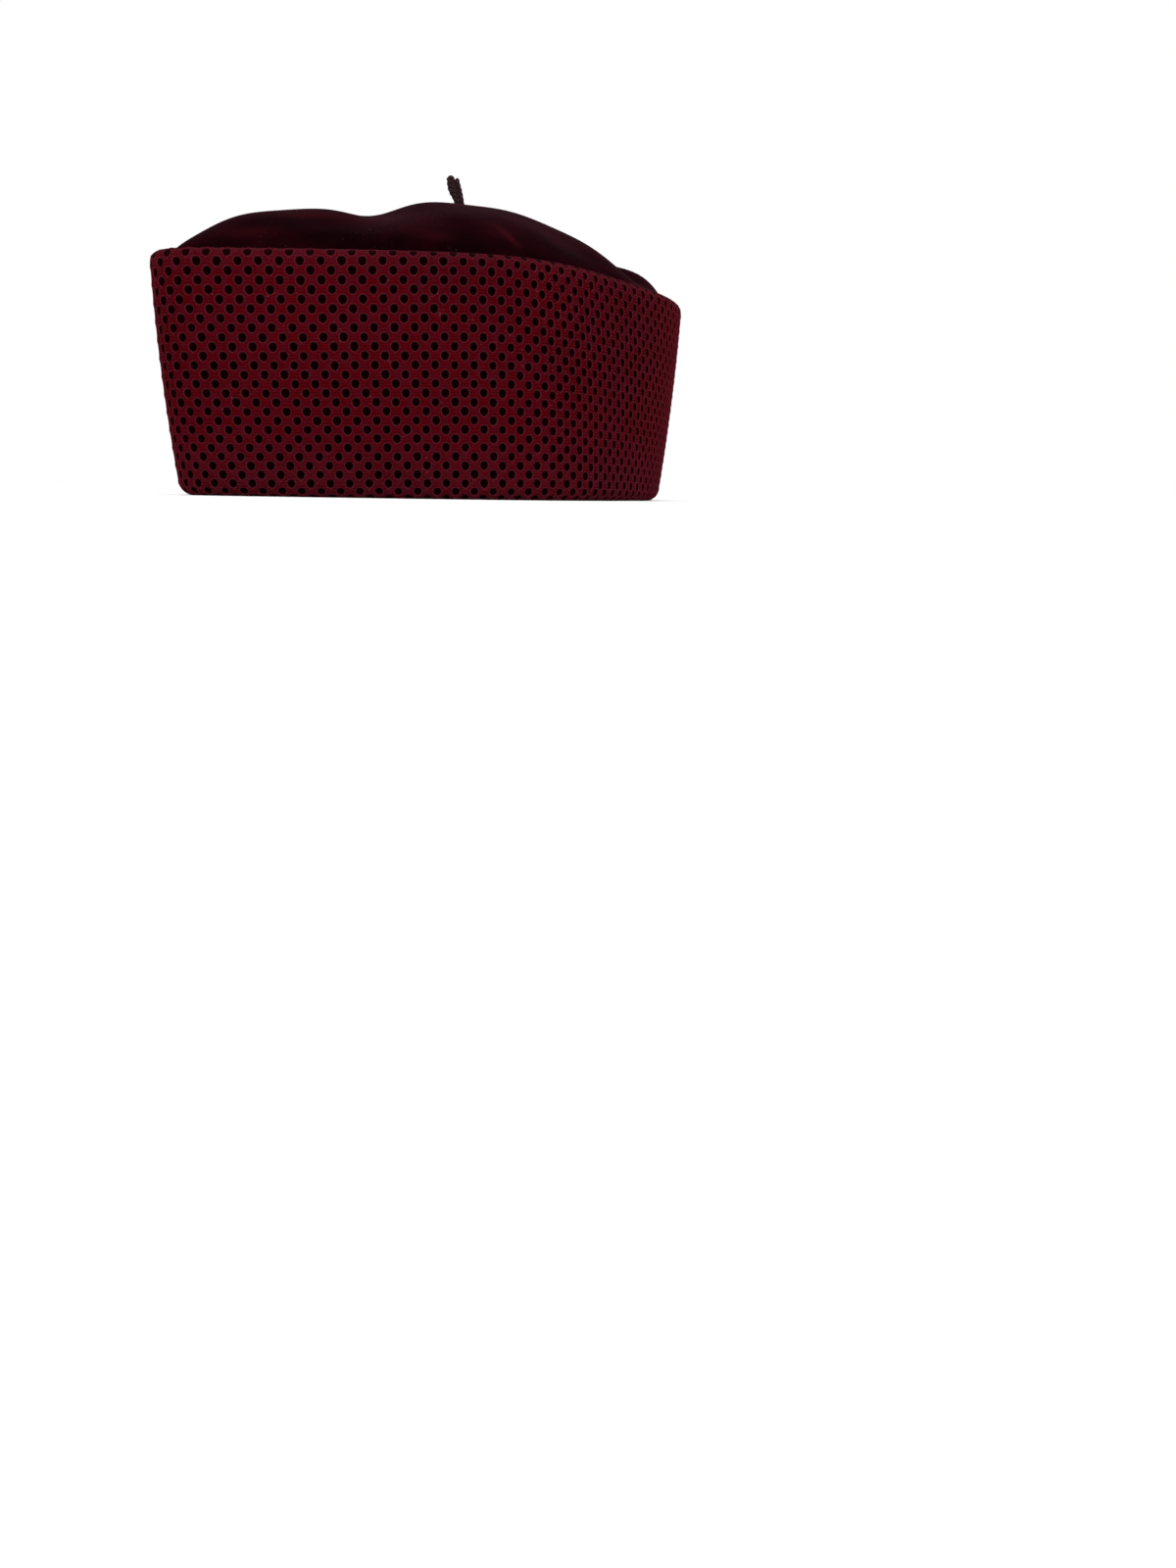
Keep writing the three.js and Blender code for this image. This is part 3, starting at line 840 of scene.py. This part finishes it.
def makeStalk(material):
    # both strands as grids closed by fans. UV: plies round the strand, and millimetres along it
    heading = np.radians(stalk["lean"])
    lean = np.array([-np.sin(heading), -np.cos(heading), 0])
    foot = crownPoint(np.array([stalk["share"]]), np.radians([stalk["turn"]]))
    sides, rows = stalk["sides"], stalk["rows"]
    points, quads, triangles, uvs, fanUvs = [], [], [], [], []
    total = 0
    for stations in [stalk["thick"], stalk["thin"]]:
        strand, start, end, length = strandPoints(stations, foot, lean)
        points += [strand.reshape(-1, 3), start, end]
        quads.append(total + gridFaces(rows, sides))
        last = total + rows * sides
        triangles += [fanFaces(total, sides, last, True), fanFaces(last - sides, sides, last + 1, False)]
        row, side = np.meshgrid(np.arange(rows - 1), np.arange(sides), indexing="ij")
        low, high = side / sides * stalk["plies"], (side + 1) / sides * stalk["plies"]
        near, far = length[row], length[row + 1]
        corners = [(low, near), (high, near), (high, far), (low, far)]
        uvs.append(np.stack([np.stack(corner, axis=-1) for corner in corners], axis=2).reshape(-1, 2))
        fanUvs += [np.tile((0.0, place), (3 * sides, 1)) for place in [0.0, length[-1]]]
        total = last + 2
    faces = np.concatenate(quads), np.concatenate(triangles)
    return makePiece("cordStalk", np.concatenate(points), *faces, material, np.concatenate([*uvs, *fanUvs]))


def stalkMaterial():
    # yarns cross each ply at a slant, the grooves between them get painted shade, and the highest places of
    # the grain are tufts
    material, tree, shader, age = newMaterial("darkCord", stalkFinish)
    around, along, _ = clothPlace(tree)
    # the ply count less the twist of each ply gives the place across a ply
    turned = calc(tree, "MULTIPLY", along, stalk["plies"] / stalk["twistLength"])
    across = calc(tree, "SUBTRACT", around, turned)
    ply = wave(tree, across, 1.0)
    crossed = calc(tree, "MULTIPLY_ADD", along, stalkFinish["yarnLean"], across)
    yarns = wave(tree, crossed, stalkFinish["yarns"])
    height = calc(tree, "MULTIPLY_ADD", yarns, stalkFinish["yarnRise"], age["grain"])
    addBump(tree, shader, height, stalkFinish["bump"])
    light = calc(tree, "MULTIPLY", ply, stalkFinish["plyLight"])
    light = calc(tree, "MULTIPLY_ADD", yarns, stalkFinish["yarnLight"], light)
    colour = blendColour(tree, light, stalkFinish["grooveShade"], stalkFinish["yarn"])
    tuft = smoothStep(tree, age["grain"], *stalkFinish["tuftEdges"])
    tuft = calc(tree, "MULTIPLY", tuft, stalkFinish["tuftStrength"])
    tree.links.new(blendColour(tree, tuft, colour, stalkFinish["tuft"]), shader.inputs["Base Color"])
    return material


# Camera, floor and light

camera = {
    "turn": 52.96,              # degrees round the cap from its front towards +X
    "distance": 534.3,          # from the middle of the cap's plan
    "height": 4.0,
    "yaw": 7.472,
    "pitch": -14.048,           # below 0 it looks down
    "roll": 0.928,
    "lens": 26.92,
    "sensor": 36.0,
    "clip": (0.001, 20.0),
}

studio = {
    "floorSize": 8.0,
    "floorColour": (0.94, 0.94, 0.94),
    "floorRoughness": 0.9,
    "worldSeen": 1.0,           # brightness of the backdrop to the eye
    "worldLight": 1.08,         # and as it lights the cap and the floor
    # name, place and edge in metres, power in watts
    "lamps": [
        ("keyLight", (0.55, -0.75, 0.75), 0.6, 5.0),
        ("fillLight", (0.95, 0.35, 0.45), 0.8, 2.0),
        ("backLight", (-0.7, 0.7, 0.8), 0.7, 3.0),
    ],
    "aim": (0.0, 0.0, 0.06),    # the middle of the cap
}


def makeCamera():
    # it starts level and facing the middle of the plan, and is yawed to the right, pitched up and rolled
    turn, yaw, pitch, roll = np.radians([camera[key] for key in ["turn", "yaw", "pitch", "roll"]])
    back = np.array([np.sin(turn), -np.cos(turn), 0])
    right = np.array([np.cos(turn), np.sin(turn), 0])
    up = np.array([0, 0, 1])
    place = (back * camera["distance"] + (0, cap["boxShift"], camera["height"])) * mm
    back, right = back * np.cos(yaw) - right * np.sin(yaw), right * np.cos(yaw) + back * np.sin(yaw)
    back, up = back * np.cos(pitch) - up * np.sin(pitch), up * np.cos(pitch) + back * np.sin(pitch)
    right, up = right * np.cos(roll) + up * np.sin(roll), up * np.cos(roll) - right * np.sin(roll)
    eye = bpy.data.objects.new("eye", bpy.data.cameras.new("eye"))
    eye.data.lens = camera["lens"]
    eye.data.sensor_width = camera["sensor"]
    eye.data.clip_start, eye.data.clip_end = camera["clip"]
    turned = Matrix(np.stack([right, up, back], axis=1).tolist()).to_4x4()
    eye.matrix_world = Matrix.Translation(place.tolist()) @ turned
    bpy.context.scene.collection.objects.link(eye)
    bpy.context.scene.camera = eye


def makeFloor():
    # a pale square, the stage on which the cap rests
    half = studio["floorSize"] / 2
    mesh = bpy.data.meshes.new("floor")
    corners = [(-half, -half, 0), (half, -half, 0), (half, half, 0), (-half, half, 0)]
    mesh.from_pydata(corners, [], [(0, 1, 2, 3)])
    material = bpy.data.materials.new("paleFloor")
    material.use_nodes = True
    shader = material.node_tree.nodes["Principled BSDF"]
    shader.inputs["Base Color"].default_value = (*studio["floorColour"], 1.0)
    shader.inputs["Roughness"].default_value = studio["floorRoughness"]
    mesh.materials.append(material)
    floor = bpy.data.objects.new("floor", mesh)
    bpy.context.scene.collection.objects.link(floor)


def makeLight():
    # a white world, seen a little darker than it lights, and soft lamps aimed at the cap
    world = bpy.data.worlds.new("studio")
    world.use_nodes = True
    tree = world.node_tree
    path = tree.nodes.new("ShaderNodeLightPath")
    seen, light = studio["worldSeen"], studio["worldLight"]
    strength = calc(tree, "MULTIPLY_ADD", path.outputs["Is Camera Ray"], seen - light, light)
    tree.links.new(strength, tree.nodes["Background"].inputs["Strength"])
    tree.nodes["Background"].inputs["Color"].default_value = (1.0, 1.0, 1.0, 1.0)
    bpy.context.scene.world = world
    for name, place, edge, power in studio["lamps"]:
        lamp = bpy.data.lights.new(name, "AREA")
        lamp.size = edge
        lamp.energy = power
        holder = bpy.data.objects.new(name, lamp)
        toward = Vector(studio["aim"]) - Vector(place)
        holder.rotation_euler = toward.to_track_quat("-Z", "Y").to_euler()
        holder.location = place
        holder.visible_camera = False
        bpy.context.scene.collection.objects.link(holder)


makeCamera()
makeFloor()
makeLight()
bpy.context.scene.view_settings.view_transform = "Standard"
print("camera, floor and light are in place")

for build, finish, node, slot in [
    (makeBand, bandMaterial, "band", "mesh_knit"),
    (makeCrown, crownMaterial, "crown", "velvet"),
    (makeStalk, stalkMaterial, "stalk", "cord"),
]:
    piece = build(finish())
    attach(piece, "root")
    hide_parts(node)
